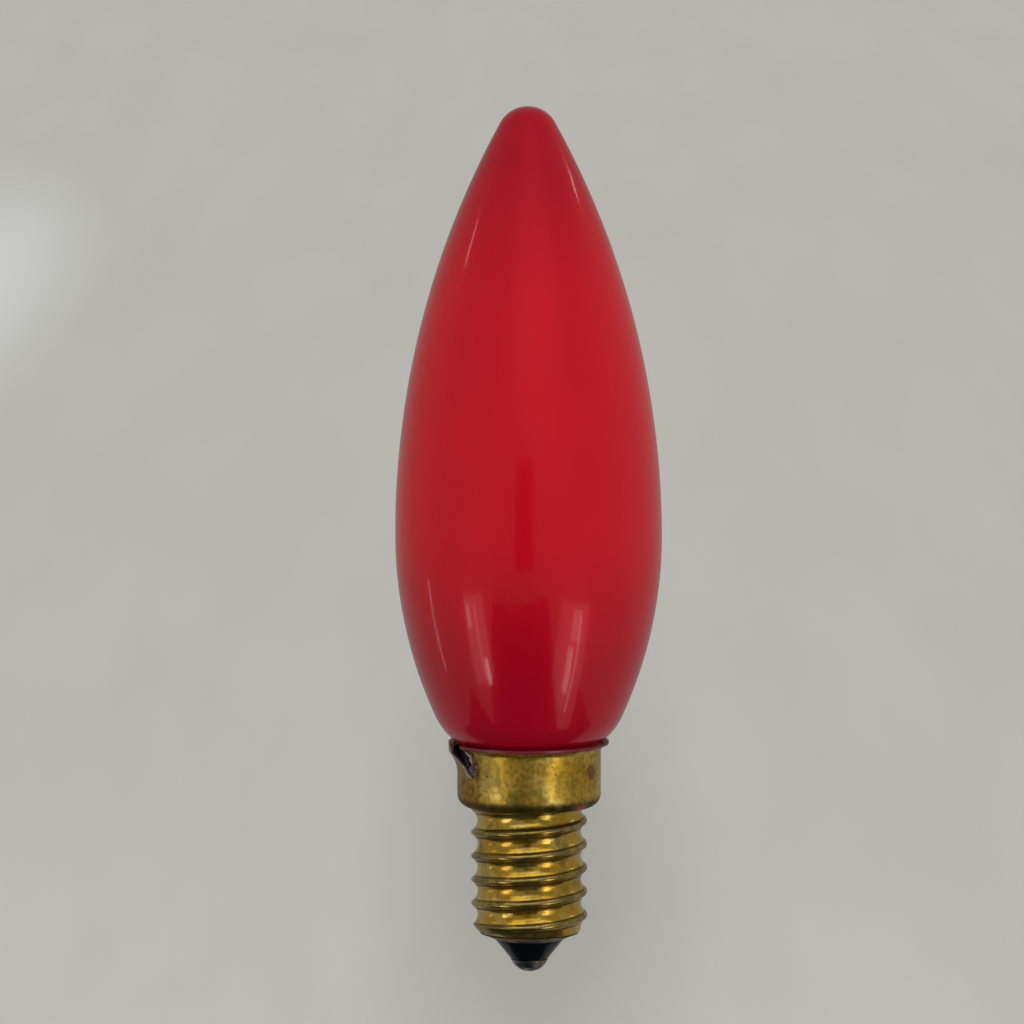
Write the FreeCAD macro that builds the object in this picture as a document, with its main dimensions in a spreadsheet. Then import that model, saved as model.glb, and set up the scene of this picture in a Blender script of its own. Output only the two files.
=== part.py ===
import FreeCAD, Part
import math
import os
import Sketcher

# Candle lamp with a small screw cap, in millimetres.
# The lamp stands on its axis with the glass tip up, and the origin is the lowest point of the centre contact.
# Azimuth runs from +X towards +Y, so the side that the photograph shows is at 270 degrees.

SIZES = {
    # Glass envelope, measured up from the flared rim of the cap
    "glass_above_rim": 75.2,
    "widest_above_rim": 24.48,
    "glass_radius": 15.74,
    "tip_round": 3.7,
    "shoulder_round": 8.0,
    "shoulder_lean": 52.0,
    "neck_round": 3.2,
    "neck_round_drop": 1.2,
    "neck_clearance": 0.7,
    "neck_edge_round": 1.2,
    "neck_seat": 1.8,
    "exhaust_radius": 1.6,
    "exhaust_length": 7.0,
    # Cap shell, drawn from thin brass sheet
    "sheet": 0.3,
    "skirt_radius": 8.5,
    "skirt_height": 6.54,
    "skirt_round": 1.6,
    "flare_round": 0.95,
    "threaded_length": 15.83,
    "lip_round": 1.1,
    "lip_slope": 24.0,
    "lip_hole_radius": 4.07,
    # Rolled knuckle thread
    "thread_crest_radius": 6.875,
    "thread_depth": 0.75,
    "thread_pitch": 2.822,
    "thread_fold": 0.22,
    "thread_flank": 56.0,
    "thread_bite": 0.05,
    "thread_start": 0.16,
    "thread_fade_height": 2.73,
    "thread_fade_length": 1.4,
    # Glass insulator and centre contact
    "solder_radius": 2.2,
    "solder_height": 1.48,
    "cone_height": 2.42,
    "cone_end_radius": 2.22,
    "insulator_side": 1.0,
    "insulator_seat_radius": 1.6,
    "insulator_seat": 2.15,
    "eyelet_flange_radius": 1.9,
    "eyelet_sheet": 0.25,
    "eyelet_tube_radius": 0.75,
    "eyelet_tube_length": 1.3,
    # Cement between the neck and the skirt
    "cement_start": 2.4,
    "cement_rise": 1.0,
    # Lead wires
    "wire_radius": 0.2,
    "wire_foot_radius": 3.0,
    "wire_sway_start": 13.0,
    "wire_sway_length": 5.0,
    "wire_end": 1.0,
    "centre_wire_azimuth": 33.0,
    "side_wire_drop": 0.95,
    "side_wire_bend": 0.8,
    "side_wire_turn": 0.6,
    "side_wire_over_gap": 1.65,
    "side_wire_reach": 0.1,
    # Gap in the rim where the side wire comes out, and its solder
    "gap_azimuth": 213.0,
    "gap_left": 2.7,
    "gap_right": 0.7,
    "gap_foot": 0.55,
    "gap_depth": 3.85,
    "side_solder_shift": 1.2,
    "side_solder_drop": 2.05,
    "side_solder_thick": 0.55,
    "side_solder_width": 1.6,
    "side_solder_height": 1.5,
}

# Tools reach this far past what they cut.
OVERSHOOT = 1.0

# A round takes up at most this share of the step that it stands in.
ROUND_SHARE = 0.8


class Size:
    """A value of the sheet, or one worked out from it, with the expression that gives it."""

    def __init__(self, value, text):
        self.value = value
        self.text = text

    def __add__(self, other):
        return combined(self, "+", other, self.value + number(other))

    def __sub__(self, other):
        return combined(self, "-", other, self.value - number(other))

    def __rsub__(self, other):
        return combined(other, "-", self, number(other) - self.value)

    def __mul__(self, other):
        return combined(self, "*", other, self.value * number(other))

    def __truediv__(self, other):
        return combined(self, "/", other, self.value / number(other))


def number(item):
    return item.value if isinstance(item, Size) else item


def written(item):
    return item.text if isinstance(item, Size) else repr(item)


def combined(left, sign, right, value):
    return Size(value, "(" + written(left) + " " + sign + " " + written(right) + ")")


def root(item):
    return Size(math.sqrt(item.value), "sqrt(" + item.text + ")")


def lesser(one, other):
    return Size(min(one.value, other.value), "min(" + one.text + "; " + other.text + ")")


def sine(angle):
    return Size(math.sin(math.radians(angle.value)), "sin(" + angle.text + " * 1 deg)")


def cosine(angle):
    return Size(math.cos(math.radians(angle.value)), "cos(" + angle.text + " * 1 deg)")


def size(name):
    return Size(SIZES[name], "Sizes." + name)


def far_side(offset, radius):
    """The other leg of a right triangle with this hypotenuse."""
    return root(radius * radius - offset * offset)


doc = FreeCAD.newDocument("candle_lamp")
sheet = doc.addObject("Spreadsheet::Sheet", "Sizes")
for row, (alias, value) in enumerate(SIZES.items(), start=1):
    sheet.set("A" + str(row), alias)
    sheet.set("B" + str(row), str(value))
    sheet.setAlias("B" + str(row), alias)
doc.recompute()


# Levels that several pieces share
wall = size("sheet")
lip_edge = size("solder_height") + size("cone_height")
shoulder = lip_edge + size("threaded_length")
flare_start = shoulder + size("skirt_height")
rim_top = flare_start + size("flare_round") + wall
neck_end = shoulder + size("neck_seat")
thread_root = size("thread_crest_radius") - size("thread_depth")
skirt_inside = size("skirt_radius") - wall
neck_radius = skirt_inside - size("neck_clearance")


class Arc:
    """An edge of an outline on a circle, turning left or right on its way to the next point."""

    def __init__(self, centre, radius, left):
        self.centre = centre
        self.radius = radius
        self.left = left


def new_body(name):
    return doc.addObject("PartDesign::Body", name)


def new_sketch(body, name, plane="XZ_Plane"):
    sketch = body.newObject("Sketcher::SketchObject", name)
    planes = [item for item in body.Origin.OriginFeatures if item.Role == plane]
    sketch.AttachmentSupport = (planes[0], [""])
    sketch.MapMode = "FlatFace"
    return sketch


def bind(sketch, kind, places, target):
    """Add a dimension whose value is bound to the sheet."""
    index = sketch.addConstraint(Sketcher.Constraint(kind, *places, number(target)))
    if isinstance(target, Size):
        sketch.setExpression("Constraints[" + str(index) + "]", target.text)


def pin_point(sketch, edge, end, point):
    """Hold one end of an edge at its distances from the two axes of the sketch."""
    across, up = point
    if number(across) == 0:
        sketch.addConstraint(Sketcher.Constraint("PointOnObject", edge, end, -2))
    else:
        bind(sketch, "DistanceX", (-1, 1, edge, end), across)
    if number(up) == 0:
        sketch.addConstraint(Sketcher.Constraint("PointOnObject", edge, end, -1))
    else:
        bind(sketch, "DistanceY", (-1, 1, edge, end), up)


def add_edge(sketch, start, finish, arc):
    """Add one edge and return its index and the ends that start and finish it."""
    here = FreeCAD.Vector(number(start[0]), number(start[1]), 0)
    there = FreeCAD.Vector(number(finish[0]), number(finish[1]), 0)
    if arc is None:
        return sketch.addGeometry(Part.LineSegment(here, there), False), 1, 2
    middle = FreeCAD.Vector(number(arc.centre[0]), number(arc.centre[1]), 0)
    circle = Part.Circle(middle, FreeCAD.Vector(0, 0, 1), number(arc.radius))
    first, last = (here, there) if arc.left else (there, here)
    turn = Part.ArcOfCircle(circle, circle.parameter(first), circle.parameter(last))
    edge = sketch.addGeometry(turn, False)
    bind(sketch, "Radius", (edge,), arc.radius)
    return (edge, 1, 2) if arc.left else (edge, 2, 1)


def draw(sketch, path, closed=True):
    """Draw the points in order. An Arc between two points replaces the straight edge there."""
    points = []
    arcs = {}
    for item in path:
        if isinstance(item, Arc):
            arcs[len(points) - 1] = item
        else:
            points.append(item)
    count = len(points) if closed else len(points) - 1
    edges = []
    for index in range(count):
        finish = points[(index + 1) % len(points)]
        edges.append(add_edge(sketch, points[index], finish, arcs.get(index)))
    for index, (edge, begin, end) in enumerate(edges):
        pin_point(sketch, edge, begin, points[index])
        if index + 1 < len(edges):
            following = edges[index + 1]
            sketch.addConstraint(Sketcher.Constraint("Coincident", edge, end, following[0], following[1]))
        elif closed:
            sketch.addConstraint(Sketcher.Constraint("Coincident", edge, end, edges[0][0], edges[0][1]))
        else:
            pin_point(sketch, edge, end, points[-1])
    return sketch


def turned(body, name, path, kind="PartDesign::Revolution"):
    """Turn a closed outline about the lamp's axis, to add it or to cut it."""
    sketch = draw(new_sketch(body, name + "_outline"), path)
    feature = body.newObject(kind, name)
    feature.Profile = sketch
    feature.ReferenceAxis = (sketch, ["V_Axis"])
    feature.Angle = 360
    return feature


def cut(name, base, *tools):
    """Take several tools from a base, one after another."""
    for index, tool in enumerate(tools):
        last = index + 1 == len(tools)
        result = doc.addObject("Part::Cut", name if last else name + "_step_" + str(index + 1))
        result.Base = base
        result.Tool = tool
        base = result
    return base


def side_arc(radius, widest, centre, small_round):
    """The arc that is upright at the widest point and runs into a smaller circle without a corner.

    Returns its radius and the point where the two meet.
    """
    across = radius - centre[0]
    up = widest - centre[1]
    large_round = (across * across + up * up - small_round * small_round) / ((across - small_round) * 2)
    share = small_round / (large_round - small_round)
    joint = (
        (large_round - across) * share + centre[0],
        centre[1] - up * share,
    )
    return large_round, joint


# Glass envelope: tip, flank, belly, shoulder and neck are arcs that run into each other without a corner,
# and the neck is closed by its fused foot with the stub of the exhaust tube.
def glass_bulb():
    body = new_body("glass_bulb")
    tip = rim_top + size("glass_above_rim")
    widest = rim_top + size("widest_above_rim")
    radius = size("glass_radius")
    tip_round = size("tip_round")
    tip_centre = (0, tip - tip_round)
    flank_round, tip_joint = side_arc(radius, widest, tip_centre, tip_round)
    neck_round = size("neck_round")
    shoulder_round = size("shoulder_round")
    lean = size("shoulder_lean")
    neck_centre = (neck_radius + neck_round, flare_start - size("neck_round_drop"))
    neck_joint = (
        neck_centre[0] - neck_round * cosine(lean),
        neck_centre[1] + neck_round * sine(lean),
    )
    shoulder_centre = (
        neck_joint[0] - shoulder_round * cosine(lean),
        neck_joint[1] + shoulder_round * sine(lean),
    )
    belly_round, belly_joint = side_arc(radius, widest, shoulder_centre, shoulder_round)
    edge_round = size("neck_edge_round")
    stub = size("exhaust_radius")
    stub_end = neck_end - size("exhaust_length")
    path = [
        (0, tip),
        Arc(tip_centre, tip_round, False),
        tip_joint,
        Arc((radius - flank_round, widest), flank_round, False),
        (radius, widest),
        Arc((radius - belly_round, widest), belly_round, False),
        belly_joint,
        Arc(shoulder_centre, shoulder_round, False),
        neck_joint,
        Arc(neck_centre, neck_round, True),
        (neck_radius, neck_centre[1]),
        (neck_radius, neck_end + edge_round),
        Arc((neck_radius - edge_round, neck_end + edge_round), edge_round, False),
        (neck_radius - edge_round, neck_end),
        (stub, neck_end),
        (stub, stub_end + stub),
        Arc((0, stub_end + stub), stub, False),
        (0, stub_end),
    ]
    turned(body, "envelope", path)
    return body


# Outline of the cap without its thread. The inside face is the same outline, one sheet further in.
def cap_outline(inset):
    skirt = size("skirt_radius") - inset
    skirt_round = lesser(size("skirt_round"), (size("skirt_radius") - thread_root) * ROUND_SHARE)
    rim = size("skirt_radius") + size("flare_round")
    flare_centre = (rim, flare_start)
    barrel = thread_root - inset
    slope = size("lip_slope")
    lip_round = size("lip_round")
    lip_centre = lip_round_centre()
    lip_end = (
        lip_centre[0] + (lip_round - inset) * sine(slope),
        lip_centre[1] - (lip_round - inset) * cosine(slope),
    )
    hole = size("lip_hole_radius")
    flare = Arc(flare_centre, size("flare_round") + inset, True)
    sides = [
        flare,
        (skirt, flare_start),
        (skirt, shoulder + skirt_round),
        Arc((size("skirt_radius") - skirt_round, shoulder + skirt_round), skirt_round - inset, False),
        (size("skirt_radius") - skirt_round, shoulder + inset),
        (barrel, shoulder + inset),
        (barrel, lip_centre[1]),
        Arc(lip_centre, lip_round - inset, False),
        lip_end,
    ]
    if number(inset) == 0:
        top = [(0, rim_top), (rim, rim_top), (rim, rim_top - wall)]
        foot = [(hole, lip_edge), (0, lip_edge)]
    else:
        top = [(0, rim_top + OVERSHOOT), (rim, rim_top + OVERSHOOT), (rim, rim_top)]
        foot = [(hole, lip_edge + inset / cosine(slope)), (hole, lip_edge - OVERSHOOT), (0, lip_edge - OVERSHOOT)]
    return top + sides + foot


# Centre of the round between the barrel and the sloping lip, which ends at the hole for the insulator
def lip_round_centre():
    slope = size("lip_slope")
    lip_round = size("lip_round")
    centre_radius = thread_root - lip_round
    reach = centre_radius + lip_round * sine(slope) - size("lip_hole_radius")
    return (centre_radius, lip_edge + reach * sine(slope) / cosine(slope) + lip_round * cosine(slope))


# One face of the cap: the thread's ridge is swept along its helix, faded towards the lip by a cone,
# and joined to the turned form. The ridge climbs into the skirt at its top end.
def cap_form(name, inset):
    body = new_body(name)
    knuckle = size("thread_fold") + wall
    flank = size("thread_flank")
    crest = size("thread_crest_radius")
    start = lip_edge + size("thread_start")
    crest_round = knuckle - inset
    arc_radius = crest - knuckle + crest_round * cosine(flank)
    arc_half = crest_round * sine(flank)
    foot_radius = thread_root - inset - size("thread_bite")
    half = arc_half + (arc_radius - foot_radius) * cosine(flank) / sine(flank)
    seat = foot_radius - wall
    ridge = [
        (seat, start - half),
        (foot_radius, start - half),
        (arc_radius, start - arc_half),
        Arc((crest - knuckle, start), crest_round, True),
        (arc_radius, start + arc_half),
        (foot_radius, start + half),
        (seat, start + half),
    ]
    sketch = draw(new_sketch(body, name + "_ridge_outline"), ridge)
    thread = body.newObject("PartDesign::AdditiveHelix", name + "_ridge")
    thread.Profile = sketch
    thread.ReferenceAxis = (sketch, ["V_Axis"])
    thread.Mode = "pitch-height-angle"
    thread.LeftHanded = False
    thread.setExpression("Pitch", "Sizes.thread_pitch")
    thread.setExpression("Height", (shoulder + half + size("thread_bite") - start).text)
    doc.recompute()
    fade_top = lip_edge + size("thread_fade_height")
    fade_foot = fade_top - size("thread_fade_length")
    fade_rise = size("thread_fade_length") / (size("thread_depth") + size("thread_bite"))
    low = start - half - OVERSHOOT
    fade = [
        (seat - OVERSHOOT, low),
        (crest + OVERSHOOT, low),
        (crest + OVERSHOOT, fade_foot + (crest + OVERSHOOT - foot_radius) * fade_rise),
        (foot_radius, fade_foot),
        (seat - OVERSHOOT, fade_foot),
    ]
    turned(body, name + "_fade", fade, "PartDesign::Groove")
    doc.recompute()
    turned(body, name + "_turned", cap_outline(inset))
    doc.recompute()
    return body


# Opening in the rim, a leaning V, where the side wire leaves the cap
def side_gap():
    body = new_body("side_gap")
    foot = rim_top - size("gap_depth")
    above = rim_top + OVERSHOOT
    path = [
        (size("gap_foot"), foot),
        (size("gap_right"), above),
        (0 - size("gap_left"), above),
    ]
    sketch = draw(new_sketch(body, "side_gap_outline", "YZ_Plane"), path)
    block = body.newObject("PartDesign::Pad", "side_gap_block")
    block.Profile = sketch
    block.setExpression("Length", (size("skirt_radius") + size("flare_round") + OVERSHOOT).text)
    turn_about_axis(body, "gap_azimuth")
    return body


def turn_about_axis(item, alias):
    item.Placement = FreeCAD.Placement(
        FreeCAD.Vector(), FreeCAD.Rotation(FreeCAD.Vector(0, 0, 1), SIZES[alias])
    )
    item.setExpression("Placement.Rotation.Angle", "Sizes." + alias + " * 1 deg")


# Black glass insulator, moulded into the lip of the shell and drawn out to a cone below it
def cap_insulator():
    body = new_body("cap_insulator")
    slope = size("lip_slope")
    barrel = thread_root - wall
    lip_centre = lip_round_centre()
    hole = size("lip_hole_radius")
    inner_round = size("lip_round") - wall
    bottom = size("solder_height")
    tube = size("eyelet_tube_radius")
    seat = bottom + size("insulator_seat")
    path = [
        (tube, bottom),
        (size("cone_end_radius"), bottom),
        (hole, lip_edge),
        (hole, lip_edge + wall / cosine(slope)),
        (lip_centre[0] + inner_round * sine(slope), lip_centre[1] - inner_round * cosine(slope)),
        Arc(lip_centre, inner_round, True),
        (barrel, lip_centre[1]),
        (barrel, lip_centre[1] + size("insulator_side")),
        (size("insulator_seat_radius"), seat),
        (tube, seat),
    ]
    turned(body, "insulator", path)
    return body


# Brass eyelet in the insulator's hole, with a flange against its lower end
def contact_eyelet():
    body = new_body("contact_eyelet")
    top = size("solder_height")
    thickness = size("eyelet_sheet")
    tube = size("eyelet_tube_radius")
    end = top + size("eyelet_tube_length")
    path = [
        (tube - thickness, top - thickness),
        (size("eyelet_flange_radius"), top - thickness),
        (size("eyelet_flange_radius"), top),
        (tube, top),
        (tube, end),
        (tube - thickness, end),
    ]
    turned(body, "eyelet", path)
    return body


# Domed drop of solder that covers the eyelet, fills its tube and holds the centre wire
def centre_solder():
    body = new_body("centre_solder")
    top = size("solder_height")
    radius = size("solder_radius")
    thickness = size("eyelet_sheet")
    bore = size("eyelet_tube_radius") - thickness
    flange = size("eyelet_flange_radius")
    end = top + size("eyelet_tube_length")
    dome_round = (radius * radius + top * top) / (top * 2)
    wire_radius = size("wire_radius")
    path = [
        (0, 0),
        Arc((0, dome_round), dome_round, True),
        (radius, top),
        (flange, top),
        (flange, top - thickness),
        (bore, top - thickness),
        (bore, end),
        (wire_radius, end),
        (wire_radius, size("wire_end")),
        (0, size("wire_end")),
    ]
    turned(body, "dome", path)
    return body


# A round wire along a path that lies in one plane through the lamp's axis
def wire(name, path, azimuth):
    body = new_body(name)
    route = draw(new_sketch(body, name + "_route"), path, closed=False)
    section = new_sketch(body, name + "_section", "XY_Plane")
    section.setExpression("AttachmentOffset.Base.z", path[0][1].text)
    spot = section.addGeometry(
        Part.Circle(FreeCAD.Vector(path[0][0].value, 0, 0), FreeCAD.Vector(0, 0, 1), SIZES["wire_radius"])
    )
    bind(section, "Radius", (spot,), size("wire_radius"))
    bind(section, "DistanceX", (-1, 1, spot, 3), path[0][0])
    section.addConstraint(Sketcher.Constraint("PointOnObject", spot, 3, -1))
    pipe = body.newObject("PartDesign::AdditivePipe", name + "_pipe")
    pipe.Profile = section
    pipe.Spine = (route, ["Edge" + str(index + 1) for index in range(len(route.Geometry))])
    turn_about_axis(body, azimuth)
    return body


# From the glass foot down past the exhaust stub, across to the axis and into the centre solder
def centre_lead_wire():
    foot = size("wire_foot_radius")
    start = size("wire_sway_start")
    length = size("wire_sway_length")
    sway_round = (foot * foot + length * length) / (foot * 4)
    path = [
        (foot, neck_end),
        (foot, start),
        Arc((foot - sway_round, start), sway_round, False),
        (foot / 2, start - length / 2),
        Arc((sway_round, start - length), sway_round, True),
        (0, start - length),
        (0, size("wire_end")),
    ]
    return wire("centre_lead_wire", path, "centre_wire_azimuth")


# From the glass foot out under its edge, up beside the neck through the cement, and out through the gap
def side_lead_wire():
    foot = size("wire_foot_radius")
    level = neck_end - size("side_wire_drop")
    bend = size("side_wire_bend")
    turn = size("side_wire_turn")
    climb = skirt_inside - size("neck_clearance") / 2
    top = rim_top - size("gap_depth") + size("side_wire_over_gap")
    path = [
        (foot, neck_end),
        (foot, level + bend),
        Arc((foot + bend, level + bend), bend, True),
        (foot + bend, level),
        (climb - bend, level),
        Arc((climb - bend, level + bend), bend, True),
        (climb, level + bend),
        (climb, top - turn),
        Arc((climb + turn, top - turn), turn, False),
        (climb + turn, top),
        (size("skirt_radius") + size("side_wire_reach"), top),
    ]
    return wire("side_lead_wire", path, "gap_azimuth")


# Cement that fills the ring between the neck and the inside of the skirt, up into the flare
def cap_cement(glass, side_wire):
    blank = new_body("cement_blank")
    low = shoulder + size("cement_start")
    rise = size("cement_rise")
    inner = neck_radius - OVERSHOOT
    flare_centre = (size("skirt_radius") + size("flare_round"), flare_start)
    flare_radius = size("flare_round") + wall
    path = [
        (inner, low),
        (skirt_inside, low),
        (skirt_inside, flare_start),
        Arc(flare_centre, flare_radius, False),
        (flare_centre[0] - far_side(rise, flare_radius), flare_start + rise),
        (inner, flare_start + rise),
    ]
    turned(blank, "cement_ring", path)
    return cut("cap_cement", blank, glass, side_wire)


# Solder on the side wire, a lens that sits in the gap and laps over the skirt beside it
def side_solder(inside, shell, side_wire):
    drop = doc.addObject("Part::Ellipsoid", "side_solder_lens")
    drop.setExpression("Radius1", "Sizes.side_solder_height")
    drop.setExpression("Radius2", "Sizes.side_solder_thick")
    drop.setExpression("Radius3", "Sizes.side_solder_width")
    turn_about_axis(drop, "gap_azimuth")
    azimuth = size("gap_azimuth")
    radius = size("skirt_radius")
    shift = size("side_solder_shift")
    drop.setExpression("Placement.Base.x", (radius * cosine(azimuth) + shift * sine(azimuth)).text)
    drop.setExpression("Placement.Base.y", (radius * sine(azimuth) - shift * cosine(azimuth)).text)
    drop.setExpression("Placement.Base.z", (rim_top - size("side_solder_drop")).text)
    return cut("side_solder", drop, inside, shell, side_wire)


glass = glass_bulb()
outside = cap_form("cap_outside", Size(0.0, "0"))
inside = cap_form("cap_inside", wall)
gap = side_gap()
shell = cut("cap_shell", outside, inside, gap)
side_wire = side_lead_wire()
pieces = [
    glass,
    shell,
    cap_insulator(),
    contact_eyelet(),
    centre_solder(),
    centre_lead_wire(),
    side_wire,
    cap_cement(glass, side_wire),
    side_solder(inside, shell, side_wire),
]
doc.recompute()

for item in doc.Objects:
    if "Invalid" in item.State or "Error" in item.State:
        raise RuntimeError(item.Label + " was not built: " + str(item.State))

os.makedirs("parts", exist_ok=True)
for piece in pieces:
    shape = piece.Shape
    if shape.isNull() or not shape.isValid() or len(shape.Solids) != 1:
        raise RuntimeError(piece.Label + " is not one valid solid")
    shape.exportStep("parts/" + piece.Label + ".step")
    print(piece.Label, round(shape.Volume, 2), "mm3")
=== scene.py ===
"""Looks of a candle lamp: red lacquered glass on a worn brass screw cap with soldered contacts.

The lamp stands on its own axis, glass tip up, with the centre contact at the origin. Azimuths run
from +X towards +Y, and the photograph looks at azimuth 270. Sizes in the classes are millimetres.
"""

import logging
import math
from dataclasses import dataclass, field
from enum import Enum
from typing import Callable, Sequence

import bpy
from mathutils import Euler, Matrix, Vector, noise


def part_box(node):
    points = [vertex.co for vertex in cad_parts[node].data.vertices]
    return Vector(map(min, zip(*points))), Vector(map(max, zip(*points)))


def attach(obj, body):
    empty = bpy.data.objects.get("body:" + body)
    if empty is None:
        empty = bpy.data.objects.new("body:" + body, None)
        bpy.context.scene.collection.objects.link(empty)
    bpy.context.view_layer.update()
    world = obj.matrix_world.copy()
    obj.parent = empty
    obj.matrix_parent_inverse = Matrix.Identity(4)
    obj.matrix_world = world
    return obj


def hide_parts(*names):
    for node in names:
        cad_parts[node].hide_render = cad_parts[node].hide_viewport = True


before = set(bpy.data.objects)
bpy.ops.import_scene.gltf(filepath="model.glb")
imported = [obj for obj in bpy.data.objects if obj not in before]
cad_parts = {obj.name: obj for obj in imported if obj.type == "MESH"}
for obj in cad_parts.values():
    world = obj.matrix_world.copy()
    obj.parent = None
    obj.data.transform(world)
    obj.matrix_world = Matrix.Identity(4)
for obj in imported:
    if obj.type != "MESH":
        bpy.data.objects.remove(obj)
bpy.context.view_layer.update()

logging.basicConfig(level=logging.INFO, format="%(message)s")
log = logging.getLogger("candle_lamp")

MM = 0.001
IMAGE_PIXELS = 1024
WELD = MM / 1000
CORNER_ANGLE = math.radians(50)
EASED = {"interpolation_type": "SMOOTHSTEP"}
Point = tuple[float, float]
Place = tuple[float, float, float]
Tree = bpy.types.NodeTree
Node = bpy.types.Node
Socket = bpy.types.NodeSocket
Piece = bpy.types.Object


class Slot(Enum):
    """Material slots of the record."""

    GLASS = "red_lacquered_glass"
    BRASS = "aged_brass"
    INSULATOR = "black_glass"
    SOLDER = "solder"
    BURNT_SOLDER = "burnt_solder"
    WIRE = "lead_wire"
    CEMENT = "cement"


class Layer(Enum):
    """Masks that are painted on a mesh, point by point, for its material."""

    # The bead, edge, underside and fold masks lay painted shade; lacquer, burn, flux and tin are real.
    NOSE_SHADE = "bead"
    EDGE = "edge"
    UNDER_SHADE = "underside"
    LACQUER = "lacquer"
    BURN = "burn"
    FOLD_SHADE = "fold"
    FLUX = "flux"
    TIN = "tin"


class Work(Enum):
    """Settings of arithmetic on two values, held between 0 and 1."""

    ADD = {"operation": "ADD", "use_clamp": True}
    TAKE = {"operation": "SUBTRACT", "use_clamp": True}
    TIMES = {"operation": "MULTIPLY", "use_clamp": True}
    LARGER = {"operation": "MAXIMUM", "use_clamp": True}


def linear(code: str) -> tuple[float, float, float, float]:
    """Turn an sRGB hex code into a linear colour.

    Args:
        code: Six hex digits.

    Returns:
        Red, green, blue and an alpha of one.
    """
    parts = [int(code[i:i + 2], 16) / 255 for i in (0, 2, 4)]
    red, green, blue = (p / 12.92 if p <= 0.04045 else ((p + 0.055) / 1.055) ** 2.4 for p in parts)
    return red, green, blue, 1.0


def feed(tree: Tree, node: Node, inputs: dict) -> None:
    """Link or set inputs of a node.

    Args:
        tree: The node tree.
        node: The node.
        inputs: Values or output sockets, by input name or number.
    """
    for name, value in inputs.items():
        if isinstance(value, Socket):
            tree.links.new(value, node.inputs[name])
        else:
            node.inputs[name].default_value = value


def put(tree: Tree, kind: str, settings: dict | None = None, inputs: dict | None = None) -> Node:
    """Add a node with its settings and links.

    Args:
        tree: The node tree.
        kind: The node's type name.
        settings: Attributes of the node.
        inputs: Values or output sockets, by input name or number.

    Returns:
        The new node.
    """
    node = tree.nodes.new(kind)
    for name, value in (settings or {}).items():
        setattr(node, name, value)
    feed(tree, node, inputs or {})
    return node


def smooth(value: float, low: float, high: float) -> float:
    """Rise from 0 at low to 1 at high with level ends."""
    share = min(max((value - low) / (high - low), 0.0), 1.0)
    return share * share * (3 - 2 * share)


def past(value: float, level: float, fade: Point) -> float:
    """Pass from 0 to 1 between two distances above a level."""
    return smooth(value, level + fade[0], level + fade[1])


def turn_between(angle: float, centre: float) -> float:
    """Signed difference of two azimuths in degrees, from -180 to 180."""
    return (angle - centre + 180) % 360 - 180


def arc(centre: Point, radius: float, start: float, finish: float, steps: int) -> list[Point]:
    """Points along a circle, both ends included.

    Args:
        centre: Radius and height of the circle's centre.
        radius: The circle's radius.
        start: First angle in degrees, from the outward direction upwards.
        finish: Last angle in degrees.
        steps: Number of steps between the two.

    Returns:
        The points in order.
    """
    angles = [math.radians(start + (finish - start) * i / steps) for i in range(steps + 1)]
    return [(centre[0] + radius * math.cos(a), centre[1] + radius * math.sin(a)) for a in angles]


def run(start: Point, finish: Point, steps: int) -> list[Point]:
    """Points along a straight run, both ends included.

    Args:
        start: Radius and height of the first point.
        finish: Radius and height of the last point.
        steps: Number of steps between the two.

    Returns:
        The points in order.
    """
    return [
        (start[0] + (finish[0] - start[0]) * i / steps, start[1] + (finish[1] - start[1]) * i / steps)
        for i in range(steps + 1)
    ]


def select_only(piece: Piece) -> None:
    """Deselect all, then select one object and make it the active one.

    Args:
        piece: The object.
    """
    bpy.ops.object.select_all(action="DESELECT")
    piece.select_set(True)
    bpy.context.view_layer.objects.active = piece


def draw(places: Sequence[Vector]) -> Piece:
    """Draw a line by extruding one point along it, and leave it selected in edit mode.

    Args:
        places: The line's points in order, in metres.

    Returns:
        The new piece.
    """
    bpy.ops.object.select_all(action="DESELECT")
    bpy.ops.mesh.primitive_plane_add(size=MM, location=(0, 0, 0))
    piece = bpy.context.object
    bpy.ops.object.mode_set(mode="EDIT")
    bpy.ops.mesh.merge(type="CENTER")
    bpy.ops.transform.translate(value=places[0])
    for here, there in zip(places, places[1:]):
        bpy.ops.mesh.extrude_region_move(TRANSFORM_OT_translate={"value": there - here})
    bpy.ops.mesh.select_all(action="SELECT")
    return piece


def lathe(name: str, outline: Sequence[Point], steps: int) -> Piece:
    """Draw an outline and spin it about the lamp's axis.

    Args:
        name: Name of the piece.
        outline: Radius and height of each point, in millimetres.
        steps: Number of steps round the axis.

    Returns:
        The new piece, with its place in its mesh.
    """
    piece = draw([Vector((r * MM, 0, z * MM)) for r, z in outline])
    piece.name = piece.data.name = name
    bpy.ops.mesh.spin(steps=steps, angle=math.tau, center=(0, 0, 0), axis=(0, 0, 1))
    bpy.ops.mesh.select_all(action="SELECT")
    bpy.ops.mesh.remove_doubles(threshold=WELD)
    bpy.ops.mesh.normals_make_consistent(inside=False)
    bpy.ops.object.mode_set(mode="OBJECT")
    bpy.ops.object.shade_smooth_by_angle(angle=CORNER_ANGLE)
    return piece


def move_points(piece: Piece, rule: Callable[[float, float, float], Point]) -> None:
    """Move each point of a mesh by a rule on its radius, azimuth and height.

    Args:
        piece: The piece to shape.
        rule: Gives the new radius and height in millimetres from radius, azimuth in degrees and height.
    """
    for vertex in piece.data.vertices:
        x, y, z = (c / MM for c in vertex.co)
        azimuth = math.degrees(math.atan2(y, x)) % 360
        radius, height = rule(math.hypot(x, y), azimuth, z)
        angle = math.radians(azimuth)
        vertex.co = (radius * math.cos(angle) * MM, radius * math.sin(angle) * MM, height * MM)


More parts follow.
